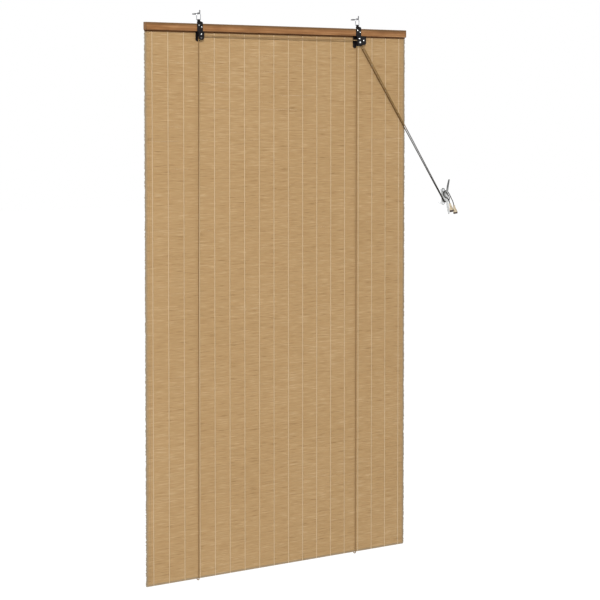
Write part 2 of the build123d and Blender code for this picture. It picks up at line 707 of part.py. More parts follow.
front_over = round_corners((FRONT_SHEAVE_X, SHEAVE_Z), CORD_LINE_R, pi / 2, FRONT_PULL, 1, FRONT_SHEAVE_Y)
rear_over = round_corners((REAR_SHEAVE_X, REAR_SHEAVE_Z), CORD_LINE_R, pi, REAR_PULL, 2, REAR_SHEAVE_Y)
front_under = round_corners(LOWER_NECK, NECK_TURN_R, pi + FRONT_PULL, 2 * pi, 2, FRONT_CLEAT_Y)
rear_under = round_corners(LOWER_NECK, NECK_TURN_R, pi + REAR_PULL, 2 * pi, 2, REAR_CLEAT_Y)
rear_top = round_corners(UPPER_NECK, NECK_TURN_R, 0, pi, 2, REAR_CLEAT_Y)

CORD_EXIT_Z = -88.0


def exit_point(corner, under):
    """The point below the bracket on the straight stretch from the last sheave to the cleat."""
    return between(corner, under, (CORD_EXIT_Z - corner[2]) / (under[2] - corner[2]))


front_exit = exit_point(front_over[-1], front_under[0])
rear_exit = exit_point(rear_over[-1], rear_under[0])


def lift_start(x):
    """From the staple on the rail down behind the mat, round its bottom edge."""
    return [
        (x, CORD_BACK_Y, CORD_TOP),
        (x, CORD_SLAT_Y, CORD_LOOP_Z),
        (x, CORD_FRONT_Y, CORD_LOOP_Z),
    ]


left_lift_route = lift_start(CORD_LEFT_X) + [
    (CORD_LEFT_X, LEFT_SHEAVE_Y, SHEAVE_Z + CORD_LINE_R),
    front_over[0],
    front_exit,
]
right_lift_route = lift_start(CORD_RIGHT_X) + rear_over + [rear_exit]

# The front cord makes a figure of eight on the horns. Its tail leaves on the right of the upper horn.
front_pull_route = [front_exit, front_under[0]] + near_cleat([
    (6.8, -14.6, -15.2),
    (7.8, -22.6, -9.2),
    (2.6, -26.6, -1.6),
    (-4.4, -26.6, 8.6),
    (-8.2, -21.6, 14.8),
    (-6.6, -14.2, 18.4),
    (4.8, -13.2, 19.4),
    (11.0, -16.0, 11.0),
    (16.5, -21.0, -5.0),
    (22.0, -25.6, -18.5),
])
# The rear cord makes a round turn on the neck. Its tail comes forward below the other cord's crossing.
rear_pull_route = [rear_exit] + rear_under + rear_top + near_cleat([
    (-6.3, -10.8, 1.6),
    (-7.2, -20.6, -1.6),
    (-3.6, -26.4, -5.0),
    (3.5, -25.6, -12.0),
])
FRONT_TAIL = Vector(0.13, -0.15, -0.98).normalized()
REAR_TAIL = Vector(0.05, -0.29, -0.957).normalized()


def along(point, direction, distance):
    return tuple(Vector(*point) + direction * distance)


front_tassel_top = along(front_pull_route[-1], FRONT_TAIL, FRONT_TASSEL_DROP)
rear_tassel_top = along(rear_pull_route[-1], REAR_TAIL, REAR_TASSEL_DROP)
front_pull_route.append(along(front_tassel_top, FRONT_TAIL, LAST_RUN))
rear_pull_route.append(along(rear_tassel_top, REAR_TAIL, LAST_RUN))


def corner_radii(points, share, fixed):
    """One radius for each inner point: a share of the shorter run, or the radius that is fixed for it."""
    radii = []
    for i in range(1, len(points) - 1):
        before = Vector(*points[i]) - Vector(*points[i - 1])
        after = Vector(*points[i + 1]) - Vector(*points[i])
        half_turn = before.get_angle(after) * pi / 360
        radii.append(fixed.get(i, share * min(before.length, after.length) / tan(half_turn)))
    return radii


OPEN_SHARE = 0.45
WRAP_SHARE = 0.49
CORDS = [
    ("left_lift_cord", left_lift_route, OPEN_SHARE, {1: LOOP_R, 2: LOOP_R, 3: CORD_LINE_R, 4: CORD_LINE_R}),
    ("right_lift_cord", right_lift_route, WRAP_SHARE, {1: LOOP_R, 2: LOOP_R}),
    ("front_pull_cord", front_pull_route, OPEN_SHARE, {}),
    ("rear_pull_cord", rear_pull_route, OPEN_SHARE, {}),
]

# Cords: straight runs joined by arcs
for name, route, share, fixed in CORDS:
    radii = corner_radii(route, share, fixed)
    with BuildPart() as cord:
        with BuildLine() as line:
            FilletPolyline(*route, radius=radii)
        with BuildSketch(Plane(origin=route[0], z_dir=Vector(*route[1]) - Vector(*route[0]))):
            Circle(CORD_R)
        sweep()
    length = sum(edge.length for edge in line.edges())
    ratio = cord.part.volume / (pi * CORD_R**2 * length)
    print(name, "length", round(length, 1), "volume ratio", round(ratio, 4))
    print("  corner radii", [round(radius, 1) for radius in radii])
    cord.part.label = name
    export_step(cord.part, f"parts/{name}.step")


# Tassels: turned bells, bored for the cord, with a pocket for the knot in the foot
TASSELS = [
    ("front", front_tassel_top, FRONT_TAIL, front_pull_route[-1]),
    ("rear", rear_tassel_top, REAR_TAIL, rear_pull_route[-1]),
]
for side, top, direction, cord_end in TASSELS:
    pocket = TASSEL_LENGTH - POCKET_DEPTH
    upright = Plane(origin=top, z_dir=direction)
    half_plane = Plane(origin=top, x_dir=upright.x_dir, z_dir=-upright.y_dir)
    with BuildPart() as tassel:
        with BuildSketch(half_plane):
            with BuildLine():
                Polyline((TASSEL_BORE_R, 0), (TASSEL_TOP_R, 0))
                Spline(
                    (TASSEL_TOP_R, 0),
                    (TASSEL_WAIST_R, TASSEL_LENGTH * TASSEL_WAIST_SHARE),
                    (TASSEL_FOOT_R, TASSEL_LENGTH * TASSEL_FOOT_SHARE),
                    (TASSEL_RIM_R, TASSEL_LENGTH),
                )
                Polyline(
                    (TASSEL_RIM_R, TASSEL_LENGTH),
                    (POCKET_R, TASSEL_LENGTH),
                    (POCKET_R, pocket),
                    (TASSEL_BORE_R, pocket),
                    (TASSEL_BORE_R, 0),
                )
            make_face()
        revolve(axis=Axis(top, direction))
    tassel.part.label = f"{side}_tassel"
    export_step(tassel.part, f"parts/{side}_tassel.step")

    # Knot: a lump a little flatter than a ball, on the cord's end in the tassel's pocket
    with BuildPart() as knot:
        with BuildSketch(Plane(origin=cord_end, x_dir=upright.x_dir, z_dir=-upright.y_dir)):
            with BuildLine():
                Polyline((0, 0), (CORD_R, 0))
                ThreePointArc((CORD_R, 0), (KNOT_R, KNOT_LENGTH / 2), (CORD_R, KNOT_LENGTH))
                Polyline((CORD_R, KNOT_LENGTH), (0, KNOT_LENGTH), (0, 0))
            make_face()
        revolve(axis=Axis(cord_end, direction))
    knot.part.label = f"{side}_knot"
    export_step(knot.part, f"parts/{side}_knot.step")
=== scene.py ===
import math

import bpy
import numpy as np
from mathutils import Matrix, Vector


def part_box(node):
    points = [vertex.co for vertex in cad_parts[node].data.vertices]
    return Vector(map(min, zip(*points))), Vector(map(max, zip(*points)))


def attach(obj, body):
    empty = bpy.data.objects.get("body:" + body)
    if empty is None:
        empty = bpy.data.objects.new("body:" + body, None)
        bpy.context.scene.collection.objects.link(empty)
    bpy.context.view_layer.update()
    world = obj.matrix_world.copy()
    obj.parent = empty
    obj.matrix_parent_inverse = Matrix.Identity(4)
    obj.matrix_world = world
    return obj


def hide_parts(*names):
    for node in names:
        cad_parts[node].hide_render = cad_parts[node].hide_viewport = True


# Looks of a bamboo roller blind: a reed mat under a stained rail, two pulley brackets, cords, cleat, tassels.
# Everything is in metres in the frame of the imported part: +X along the rail, +Y into the wall, +Z up.

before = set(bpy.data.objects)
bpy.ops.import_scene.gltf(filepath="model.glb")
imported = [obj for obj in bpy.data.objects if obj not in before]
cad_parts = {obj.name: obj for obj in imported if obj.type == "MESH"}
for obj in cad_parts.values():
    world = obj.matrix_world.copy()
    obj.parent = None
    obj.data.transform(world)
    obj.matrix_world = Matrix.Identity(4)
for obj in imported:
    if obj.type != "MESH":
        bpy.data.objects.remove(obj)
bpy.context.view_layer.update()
MM = 0.001
BLIND = "blind"

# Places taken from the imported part
MAT_LOW, MAT_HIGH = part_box("bamboo_mat")
THREADS_LOW, THREADS_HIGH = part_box("warp_threads")
SLAT_LOW, SLAT_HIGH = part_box("bottom_slat")
RAIL_LOW, RAIL_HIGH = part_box("head_rail")

# Reeds
REED_ROWS = 580
REED_CUTS = 20
REED_SIDES = 8
REED_PITCH = (MAT_HIGH.z - MAT_LOW.z) / REED_ROWS
REED_WAVER = 0.05 * MM
REED_LONGEST = 2.0 * MM
REED_SHORTEST = 0.6 * MM
EDGE_BAND = 4 * MM
STRIP_DEPTH = 4.1 * MM
STRIP_FADE = 1.2 * MM

# Warp threads
THREAD_COUNT = 18
THREAD_RADIUS = 0.6 * MM
FRONT_SPREAD = 2.4
BACK_SPREAD = 2.0
THREAD_LIFT = 0.15 * MM
THREAD_SWELL = 0.2 * MM
THREAD_DEPTH = 0.35 * MM
THREAD_MARGIN = 0.2 * MM
SELVAGE_PLACES = (8 * MM, 14.5 * MM)

# Cords
CORD_DIAMETER = 3.1 * MM
CORD_LAY = 12 * MM
CORD_STEP = 0.8 * MM
STRAND_HOLLOW = 0.82

# Tassels
TASSEL_LENGTH = 27.0
KNOT_POCKET_RADIUS = 4.2
KNOT_POCKET_DEPTH = 8.0
CORD_BORE_RADIUS = 1.7

chance = np.random.default_rng(11)


def closed_tubes(name, rings):
    """Tubes from rings[tube, ring, corner, xyz]: a quad joins each two rings, a flat face closes each end.
    Corners run by the right-hand rule about the direction of the rings, so that faces point outwards."""
    tubes, count, corners, _ = rings.shape
    ids = np.arange(tubes * count * corners).reshape(tubes, count, corners)
    near, far = ids[:, :-1], ids[:, 1:]
    quads = np.stack([near, np.roll(near, -1, 2), np.roll(far, -1, 2), far], -1).reshape(-1, 4)
    ends = np.concatenate([ids[:, 0, ::-1], ids[:, -1]])
    loops = np.concatenate([quads.ravel(), ends.ravel()]).astype(np.int32)
    sizes = np.concatenate([np.full(len(quads), 4), np.full(len(ends), corners)]).astype(np.int32)
    starts = np.concatenate([[0], np.cumsum(sizes)[:-1]]).astype(np.int32)
    mesh = bpy.data.meshes.new(name)
    mesh.vertices.add(ids.size)
    mesh.vertices.foreach_set("co", rings.astype(np.float32).ravel())
    mesh.loops.add(len(loops))
    mesh.loops.foreach_set("vertex_index", loops)
    mesh.polygons.add(len(sizes))
    mesh.polygons.foreach_set("loop_start", starts)
    smooth_faces = np.concatenate([np.ones(len(quads), bool), np.zeros(len(ends), bool)])
    mesh.polygons.foreach_set("use_smooth", smooth_faces)
    mesh.update(calc_edges=True)
    mesh.validate()
    piece = bpy.data.objects.new(name, mesh)
    bpy.context.scene.collection.objects.link(piece)
    return piece


def give_values(piece, name, values):
    """Writes one number for each vertex into the attribute that a finish reads."""
    attribute = piece.data.attributes.new(name, "FLOAT", "POINT")
    attribute.data.foreach_set("value", np.asarray(values, np.float32).ravel())


def fit_piece(piece, finish, slot, *nodes):
    """Gives a piece its finish and its body, and hides the solids that it stands for; the slot argument is
    not used.
    """
    piece.data.materials.append(finish)
    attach(piece, BLIND)
    if nodes:
        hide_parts(*nodes)
    return piece


# Finishes

class Finish:
    """A node material on the Principled shader, with short calls for its noise, ramps and bumps."""

    def __init__(self, name, **sockets):
        self.material = bpy.data.materials.new(name)
        self.material.use_nodes = True
        self.nodes = self.material.node_tree.nodes
        self.links = self.material.node_tree.links
        self.shader = self.nodes["Principled BSDF"]
        for socket, value in sockets.items():
            self.shader.inputs[socket.replace("_", " ")].default_value = value

    def place(self, scale=(1, 1, 1)):
        """Object coordinates, stretched by a Mapping node."""
        where = self.nodes.new("ShaderNodeTexCoord")
        mapping = self.nodes.new("ShaderNodeMapping")
        mapping.inputs["Scale"].default_value = scale
        self.links.new(where.outputs["Object"], mapping.inputs["Vector"])
        return mapping.outputs["Vector"]

    def height(self, low, high, axis="Z"):
        """The share of the way from low to high at which a point lies."""
        where = self.nodes.new("ShaderNodeTexCoord")
        parts = self.nodes.new("ShaderNodeSeparateXYZ")
        self.links.new(where.outputs["Object"], parts.inputs[0])
        node = self.nodes.new("ShaderNodeMapRange")
        node.inputs["From Min"].default_value = low
        node.inputs["From Max"].default_value = high
        self.links.new(parts.outputs[axis], node.inputs["Value"])
        return node.outputs["Result"]

    def value(self, name):
        """The number that a piece carries in the attribute of this name."""
        node = self.nodes.new("ShaderNodeAttribute")
        node.attribute_name = name
        return node.outputs["Fac"]

    def noise(self, vector, scale, detail=3.0, roughness=0.5):
        node = self.nodes.new("ShaderNodeTexNoise")
        node.inputs["Scale"].default_value = scale
        node.inputs["Detail"].default_value = detail
        node.inputs["Roughness"].default_value = roughness
        self.links.new(vector, node.inputs["Vector"])
        return node.outputs["Fac"]

    def math(self, operation, first, second):
        node = self.nodes.new("ShaderNodeMath")
        node.operation = operation
        for socket, value in zip(node.inputs, (first, second)):
            if isinstance(value, (int, float)):
                socket.default_value = value
            else:
                self.links.new(value, socket)
        return node.outputs["Value"]

    def ramp(self, fac, *stops):
        """A colour ramp from (position, colour) stops."""
        node = self.nodes.new("ShaderNodeValToRGB")
        elements = node.color_ramp.elements
        while len(elements) < len(stops):
            elements.new(0.5)
        for element, (position, colour) in zip(elements, stops):
            element.position = position
            element.color = (*colour, 1)
        self.links.new(fac, node.inputs["Fac"])
        return node.outputs["Color"]

    def mix(self, fac, first, second):
        node = self.nodes.new("ShaderNodeMix")
        node.data_type = "RGBA"
        for socket, value in zip((node.inputs[0], node.inputs[6], node.inputs[7]), (fac, first, second)):
            if isinstance(value, tuple):
                socket.default_value = (*value, 1)
            elif isinstance(value, (int, float)):
                socket.default_value = value
            else:
                self.links.new(value, socket)
        return node.outputs[2]

    def colour(self, output):
        self.links.new(output, self.shader.inputs["Base Color"])

    def rough(self, fac, low, high):
        node = self.nodes.new("ShaderNodeMapRange")
        node.inputs["To Min"].default_value = low
        node.inputs["To Max"].default_value = high
        self.links.new(fac, node.inputs["Value"])
        self.links.new(node.outputs["Result"], self.shader.inputs["Roughness"])

    def bump(self, height, distance, strength=1.0):
        node = self.nodes.new("ShaderNodeBump")
        node.inputs["Distance"].default_value = distance
        node.inputs["Strength"].default_value = strength
        self.links.new(height, node.inputs["Height"])
        self.links.new(node.outputs["Normal"], self.shader.inputs["Normal"])


def split_bamboo():
    """Tan split bamboo: fine fibres along X, short darker dashes in single reeds, a small change of tone from
    reed to reed, a dark painted shadow in a strip close under the rail, and greyer painted shade at the
    edges."""
    f = Finish("split_bamboo", Specular_IOR_Level=0.12)
    fibres = f.noise(f.place((30, 900, 900)), 1.0, 4.0, 0.6)
    dashes = f.noise(f.place((26, 1, 400)), 1.0, 1.0, 0.4)
    drift = f.noise(f.place((3, 1, 5)), 1.0, 2.0)
    mixed = f.math("MULTIPLY", f.value("reed_tone"), 0.16)
    for part, weight in ((fibres, 0.3), (dashes, 0.5), (drift, 0.14)):
        mixed = f.math("ADD", mixed, f.math("MULTIPLY", part, weight))
    body = f.ramp(
        mixed, (0.36, (0.33, 0.20, 0.085)), (0.46, (0.475, 0.302, 0.14)), (0.6, (0.51, 0.335, 0.163)),
        (0.72, (0.60, 0.42, 0.235)),
    )
    # Greyer painted shade along the mat's side edges and its two lowest rows
    edge_shaded = f.mix(f.value("edge_share"), body, (0.30, 0.245, 0.17))
    # The rail's shadow is painted into the reeds close under it as a dark red-brown strip
    f.colour(f.mix(f.value("under_rail"), edge_shaded, RAIL_SHADOW_PAINT))
    f.rough(fibres, 0.55, 0.8)
    f.bump(fibres, 0.12 * MM)
    return f.material


def stained_wood(name, dark, middle, light, roughness, low, high):
    """Stained lath: grain lines along X, darker along the top and at the ends, and painted shade along the
    lower edge.
    """
    f = Finish(name, Specular_IOR_Level=0.2)
    lines = f.noise(f.place((7, 260, 260)), 1.0, 5.0, 0.65)
    clouds = f.noise(f.place((14, 50, 50)), 1.0, 2.0)
    mixed = f.math("ADD", f.math("MULTIPLY", lines, 0.7), f.math("MULTIPLY", clouds, 0.3))
    # Painted shade along the lower edge; a darker tone along the top and at the ends
    edge_shade_share = f.ramp(f.height(low.z, high.z), (0.01, (0.7, 0.7, 0.7)), (0.05, (0, 0, 0)), (0.6, (0, 0, 0)),
                    (0.72, (0.35, 0.35, 0.35)), (0.85, (0.62, 0.62, 0.62)))
    left_end = f.math("SUBTRACT", 0.4, f.math("MULTIPLY", f.height(low.x, low.x + 6 * MM, "X"), 0.4))
    right_end = f.math("MULTIPLY", f.height(high.x - 8 * MM, high.x - 1 * MM, "X"), 0.5)
    edge_shade_share = f.math("MAXIMUM", edge_shade_share, f.math("MAXIMUM", left_end, right_end))
    f.colour(f.mix(edge_shade_share, f.ramp(mixed, (0.32, dark), (0.5, middle), (0.68, light)), EDGE_SHADE_AND_TONE))
    f.rough(lines, roughness - 0.08, roughness + 0.1)
    f.bump(lines, 0.12 * MM)
    return f.material


def turned_wood():
    """Light turned wood with a dark foot: the attribute along runs from the top, 0, to the foot, 1."""
    f = Finish("turned_wood", Specular_IOR_Level=0.5, Coat_Weight=0.25, Coat_Roughness=0.25)
    along = f.value("along")
    grain = f.noise(f.place((240, 240, 70)), 1.0, 4.0, 0.6)
    rings = f.noise(f.place((30, 30, 900)), 1.0, 2.0)
    wood = f.ramp(
        grain, (0.3, (0.46, 0.36, 0.24)), (0.55, (0.60, 0.50, 0.33)), (0.75, (0.70, 0.60, 0.44))
    )
    shifted = f.math("ADD", along, f.math("MULTIPLY", f.math("SUBTRACT", rings, 0.5), 0.05))
    stain = f.ramp(shifted, (0.77, (0, 0, 0)), (0.82, (1, 1, 1)))
    f.colour(f.mix(stain, wood, FOOT_STAIN))
    f.rough(grain, 0.35, 0.5)
    f.bump(grain, 0.05 * MM)
    return f.material


def twisted_cotton(name, dark, light, lower=None):
    """Fuzzy cotton yarn: fibres follow the lay, and the hollows between the strands are painted darker as
    shade.
    The lower run of a pull cord may have a second pair of tones, greyer and darker."""
    f = Finish(name, Roughness=0.9, Specular_IOR_Level=0.15, Sheen_Weight=0.0 if lower else 0.2)
    fuzz = f.noise(f.place((1, 1, 1)), 1400.0, 3.0)
    soil = f.noise(f.place((1, 1, 1)), 30.0, 2.0)
    # Painted shade: darker colour in the hollows between the strands
    depth = f.value("strand_height")
    mixed = f.math("ADD", f.math("MULTIPLY", depth, 0.55), f.math("MULTIPLY", fuzz, 0.25))
    mixed = f.math("ADD", mixed, f.math("MULTIPLY", soil, 0.2))
    yarn = f.ramp(mixed, (0.2, dark), (0.8, light))
    if lower:
        yarn = f.mix(f.height(*LOWER_RUN), yarn, f.ramp(mixed, (0.2, lower[0]), (0.8, lower[1])))
    f.colour(yarn)
    f.bump(fuzz, 0.1 * MM)
    return f.material


def plain_cotton(name, dark, light):
    """Thin yarn and knots. Yarn close under the rail gets the same painted shadow of the rail as the strip of
    reeds there.
    """
    f = Finish(name, Roughness=0.9, Specular_IOR_Level=0.15)
    fuzz = f.noise(f.place((1, 1, 1)), 900.0, 3.0)
    # Painted shadow of the rail on the yarn close under it
    f.colour(f.mix(f.value("under_rail"), f.ramp(fuzz, (0.3, dark), (0.7, light)), RAIL_SHADOW_PAINT))
    f.bump(fuzz, 0.1 * MM)
    return f.material


def bare_metal(name, dark, light, roughness, metallic=1.0):
    """Plated or bare metal with faint scratches and dulled patches."""
    f = Finish(name, Metallic=metallic)
    scratches = f.noise(f.place(), 900.0, 3.0, 0.6)
    patches = f.noise(f.place(), 160.0, 3.0)
    f.colour(f.ramp(patches, (0.35, dark), (0.65, light)))
    f.rough(scratches, roughness - 0.1, roughness + 0.12)
    f.bump(scratches, 0.02 * MM, 0.6)
    return f.material


def worn_enamel():
    """Black enamel on sheet steel, scuffed a little to grey."""
    f = Finish("worn_enamel", Specular_IOR_Level=0.14)
    scuffs = f.noise(f.place(), 420.0, 5.0, 0.7)
    f.colour(f.ramp(
        scuffs, (0.5, (0.006, 0.005, 0.006)), (0.66, (0.016, 0.013, 0.013)), (0.8, (0.09, 0.075, 0.07))
    ))
    f.rough(scuffs, 0.34, 0.6)
    f.bump(scuffs, 0.04 * MM)
    return f.material


def cast_metal(low, high):
    """Pale satin casting, darker towards the upper horn's tip, with a fine sand skin."""
    f = Finish("cast_metal", Metallic=0.15, Specular_IOR_Level=0.5)
    sand = f.noise(f.place(), 1100.0, 3.0)
    clouds = f.noise(f.place(), 90.0, 2.0)
    share = f.math("ADD", f.height(low, high), f.math("MULTIPLY", f.math("SUBTRACT", clouds, 0.5), 0.12))
    f.colour(f.ramp(
        share, (0.1, (0.50, 0.51, 0.51)), (0.5, (0.70, 0.71, 0.70)), (0.66, (0.32, 0.33, 0.32)),
        (0.8, (0.09, 0.095, 0.095))
    ))
    f.rough(clouds, 0.3, 0.45)
    f.bump(sand, 0.05 * MM)
    return f.material


# Colour for a lath's painted shade along its lower edge and its darker top and ends
EDGE_SHADE_AND_TONE = (0.10, 0.058, 0.02)
# Colour of the rail's painted shadow on the reeds and threads close under it
RAIL_SHADOW_PAINT = (0.16, 0.058, 0.02)
FOOT_STAIN = (0.06, 0.035, 0.022)
LOWER_RUN = (-0.315, -0.34)
CLEAT_LOW, CLEAT_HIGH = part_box("wall_cleat")
bamboo = split_bamboo()
rail_wood = stained_wood(
    "rail_wood", (0.185, 0.078, 0.024), (0.315, 0.143, 0.05), (0.45, 0.235, 0.10), 0.5,
    RAIL_LOW, RAIL_HIGH
)
slat_wood = stained_wood(
    "slat_wood", (0.26, 0.13, 0.055), (0.42, 0.24, 0.11), (0.52, 0.32, 0.16), 0.6, SLAT_LOW, SLAT_HIGH
)
tassel_wood = turned_wood()
cord_cotton = twisted_cotton("cord_cotton", (0.20, 0.115, 0.043), (0.37, 0.228, 0.095))
PULL_COTTON = {
    "front": twisted_cotton(
        "brown_cotton", (0.19, 0.112, 0.04), (0.40, 0.245, 0.095),
        ((0.03, 0.028, 0.025), (0.10, 0.094, 0.085))
    ),
    "rear": twisted_cotton(
        "dark_cotton", (0.085, 0.043, 0.012), (0.22, 0.122, 0.04),
        ((0.012, 0.011, 0.01), (0.045, 0.04, 0.035))
    ),
}
knot_cotton = plain_cotton("knot_cotton", (0.16, 0.095, 0.05), (0.36, 0.24, 0.13))
thread_cotton = plain_cotton("thread_cotton", (0.62, 0.455, 0.27), (0.78, 0.60, 0.385))
edge_cotton = plain_cotton("edge_cotton", (0.42, 0.29, 0.155), (0.52, 0.37, 0.21))
hook_steel = bare_metal("hook_steel", (0.14, 0.14, 0.145), (0.26, 0.26, 0.27), 0.4)
ring_nickel = bare_metal("ring_nickel", (0.42, 0.43, 0.46), (0.58, 0.59, 0.62), 0.26)
rivet_steel = bare_metal("rivet_steel", (0.62, 0.63, 0.62), (0.82, 0.83, 0.80), 0.25)
nail_steel = bare_metal("nail_steel", (0.10, 0.09, 0.085), (0.26, 0.24, 0.22), 0.45)
staple_wire = bare_metal("staple_wire", (0.5, 0.5, 0.51), (0.7, 0.7, 0.72), 0.3)
screw_zinc = bare_metal("screw_zinc", (0.80, 0.81, 0.83), (0.90, 0.91, 0.92), 0.3, metallic=0.15)
sheave_brass = bare_metal("sheave_brass", (0.34, 0.24, 0.10), (0.56, 0.42, 0.20), 0.35)
black_enamel = worn_enamel()
cleat_metal = cast_metal(CLEAT_LOW.z, CLEAT_HIGH.z)

CAD_FINISHES = {
    "head_rail": rail_wood,
    "bottom_slat": slat_wood,
    "mat_staples": staple_wire,
    "left_wall_hook": hook_steel,
    "right_wall_hook": hook_steel,
    "left_ring": ring_nickel,
    "right_ring": ring_nickel,
    "left_front_plate": black_enamel,
    "right_front_plate": black_enamel,
    "left_rear_plate": black_enamel,
    "right_middle_plate": black_enamel,
    "right_rear_plate": black_enamel,
    "left_sheave": sheave_brass,
    "front_sheave": sheave_brass,
    "rear_sheave": sheave_brass,
    "left_rivet": rivet_steel,
    "right_rivets": rivet_steel,
    "left_axle": nail_steel,
    "front_axle": rivet_steel,
    "rear_axle": rivet_steel,
    "left_bushes": rivet_steel,
    "strap_nails": rivet_steel,
    "wall_cleat": cleat_metal,
    "cleat_screws": screw_zinc,
    "front_knot": knot_cotton,
    "rear_knot": knot_cotton,
}
for node, finish in CAD_FINISHES.items():
    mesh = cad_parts[node].data
    mesh.materials.clear()
    mesh.materials.append(finish)


# Reed mat

def under_rail(z):
    """How much a height lies in the strip close under the rail where the rail's shadow is painted."""
    return np.clip((z - RAIL_LOW.z + STRIP_DEPTH) / STRIP_FADE, 0, 1)


def reed_mat():
    """Each reed is a flat oval bar along X. Its half height and half depth are drawn by lot, and its centre
    line wavers by a sum of two sines in x. The section is a superellipse, from signed powers of cosine
    and sine."""
    row = np.arange(REED_ROWS)
    inner = np.linspace(MAT_LOW.x, MAT_HIGH.x, REED_CUTS - 4)[1:-1]
    margin = np.array([0, 1, 2]) * EDGE_BAND
    x = np.concatenate([MAT_LOW.x + margin, inner, MAT_HIGH.x - margin[::-1]])
    centre_z = MAT_HIGH.z - (row + 0.5) * REED_PITCH
    half_z = REED_PITCH * chance.uniform(0.5, 0.56, REED_ROWS)
    deep = (MAT_HIGH.y - MAT_LOW.y) / 2
    half_y = deep * chance.uniform(0.72, 0.98, REED_ROWS)
    middle_y = (MAT_LOW.y + MAT_HIGH.y) / 2 + (deep - half_y) * chance.uniform(-1, 1, REED_ROWS)
    phase = chance.uniform(0, 2 * np.pi, (2, REED_ROWS, 1))
    waver = REED_WAVER * (np.sin(9 * x + phase[0]) + np.sin(23 * x + phase[1]))
    lowest = (MAT_LOW.z + half_z - centre_z)[:, None]
    highest = (MAT_HIGH.z - half_z - centre_z)[:, None]
    waver = np.clip(waver, lowest, highest)
    ends = chance.uniform(-REED_LONGEST, REED_SHORTEST, (2, REED_ROWS))
    along = np.tile(x, (REED_ROWS, 1))
    along[:, 0] += ends[0]
    along[:, -1] -= ends[1]
    angle = np.linspace(0, 2 * np.pi, REED_SIDES, endpoint=False) + np.pi / REED_SIDES
    around_y = np.sign(np.cos(angle)) * np.abs(np.cos(angle)) ** 0.75
    around_z = np.sign(np.sin(angle)) * np.abs(np.sin(angle)) ** 0.75
    around_y, around_z = around_y / around_y.max(), around_z / around_z.max()
    rings = np.empty((REED_ROWS, REED_CUTS, REED_SIDES, 3))
    rings[..., 0] = along[:, :, None]
    rings[..., 1] = middle_y[:, None, None] + half_y[:, None, None] * around_y
    rings[..., 2] = (centre_z[:, None] + waver)[:, :, None] + half_z[:, None, None] * around_z
    mat = closed_tubes("reed_mat", rings)
    tone = np.clip(chance.normal(0.5, 0.22, (REED_ROWS, REED_CUTS)), 0, 1)
    give_values(mat, "reed_tone", np.broadcast_to(tone[:, :, None], rings.shape[:3]))
    # Edge share: where the greyer painted shade lies, along both side edges and on the two lowest rows
    edge = np.interp(x, MAT_LOW.x + margin, [1.0, 0.5, 0.0])
    edge += np.interp(x, MAT_HIGH.x - margin[::-1], [0.0, 0.5, 1.0])
    foot = 0.6 * (row >= REED_ROWS - 2)
    share = np.maximum(edge, foot[:, None])
    give_values(mat, "edge_share", np.broadcast_to(share[:, :, None], rings.shape[:3]))
    # Share of the rail's painted shadow for each reed
    strip = under_rail(centre_z)
    give_values(mat, "under_rail", np.broadcast_to(strip[:, None, None], rings.shape[:3]))
    return mat


fit_piece(reed_mat(), bamboo, "bamboo", "bamboo_mat")


def warp_columns(name, xs, radius, face_y, out, top, foot):
    """Threads down one face of the mat: each swells over a reed and dips between two, as a cosine of z."""
    z = np.arange(top, foot, -REED_PITCH / 2)
    swell = 0.5 + 0.5 * np.cos(np.arange(len(z)) * np.pi)
    y = face_y + out * (THREAD_LIFT + THREAD_SWELL * swell)
    angle = np.linspace(0, 2 * np.pi, 4, endpoint=False)
    rings = np.empty((len(xs), len(z), 4, 3))
    rings[..., 0] = np.asarray(xs)[:, None, None] + radius * np.cos(angle)
    rings[..., 1] = y[:, None] + THREAD_DEPTH * np.sin(angle)
    rings[..., 2] = z[:, None]
    # Rings run downwards, so corners from X towards Y turn by the left hand and are taken in reverse
    threads = closed_tubes(name, rings[:, :, ::-1])
    # The rail's painted shadow on the front threads close under it
    strip = under_rail(z) * (out < 0)
    give_values(threads, "under_rail", np.broadcast_to(strip[:, None], rings.shape[:3]))
    return threads


step = (THREADS_HIGH.x - THREADS_LOW.x - 2 * THREAD_RADIUS) / (THREAD_COUNT - 1)
thread_xs = THREADS_LOW.x + THREAD_RADIUS + step * np.arange(THREAD_COUNT)
thread_top = RAIL_LOW.z - THREAD_MARGIN
selvage_xs = np.concatenate([[MAT_LOW.x + d, MAT_HIGH.x - d] for d in SELVAGE_PLACES])
front_threads = warp_columns(
    "front_threads", thread_xs, THREAD_RADIUS * FRONT_SPREAD, MAT_LOW.y, -1, thread_top, MAT_LOW.z
)
back_threads = warp_columns(
    "back_threads", thread_xs, THREAD_RADIUS * BACK_SPREAD, MAT_HIGH.y, 1, MAT_HIGH.z,
    SLAT_HIGH.z + THREAD_MARGIN
)
selvage_threads = warp_columns(
    "selvage_threads", selvage_xs, THREAD_RADIUS, MAT_LOW.y, -1, thread_top, MAT_LOW.z
)
fit_piece(front_threads, thread_cotton, "warp_thread", "warp_threads")
fit_piece(back_threads, thread_cotton, "warp_thread")
fit_piece(selvage_threads, edge_cotton, "warp_thread")


# Cords

